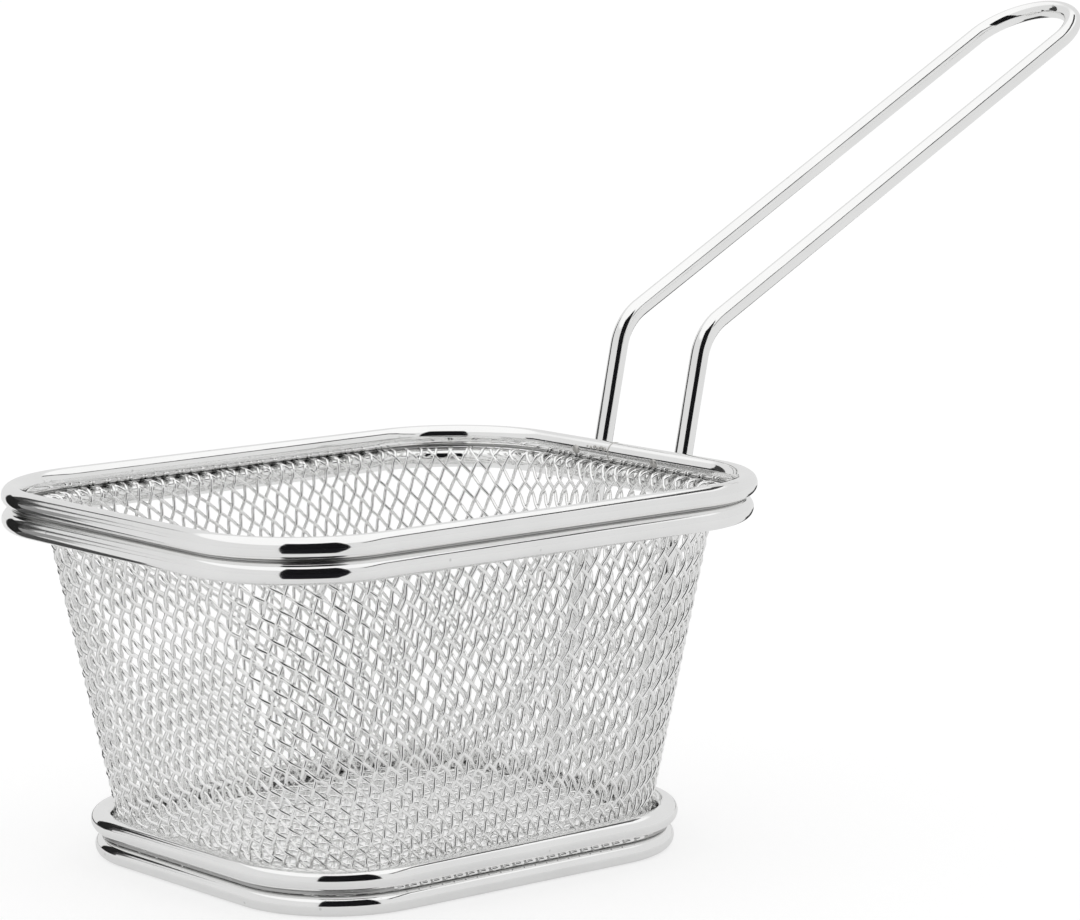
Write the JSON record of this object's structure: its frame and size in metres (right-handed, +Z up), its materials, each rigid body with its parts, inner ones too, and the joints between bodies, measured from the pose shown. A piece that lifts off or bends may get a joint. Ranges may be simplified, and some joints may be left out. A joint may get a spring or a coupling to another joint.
{
  "type": "fry serving basket",
  "caption": "Small tapered rounded-rectangular fry serving basket of polished wire rings and woven wire cloth, with a long looped wire handle.",
  "frame": {"origin": "centre of the base on its resting plane", "axes": "+Z up, +X towards the handle, +Y across the basket; mirror-symmetric about the XZ plane"},
  "size_m": [0.204, 0.085, 0.1285],
  "materials": {
    "ring_wire": "polished stainless steel wire, 3.4 mm",
    "wire_cloth": "bright woven stainless steel wire cloth",
    "handle_wire": "polished stainless steel wire, 3 mm"
  },
  "bodies": {
    "root": {"rim_ring_upper": "ring_wire", "rim_ring_lower": "ring_wire", "base_ring_upper": "ring_wire", "base_ring_lower": "ring_wire", "wall_mesh": "wire_cloth", "floor_mesh": "wire_cloth", "handle_wire": "handle_wire"}
  },
  "joints": []
}
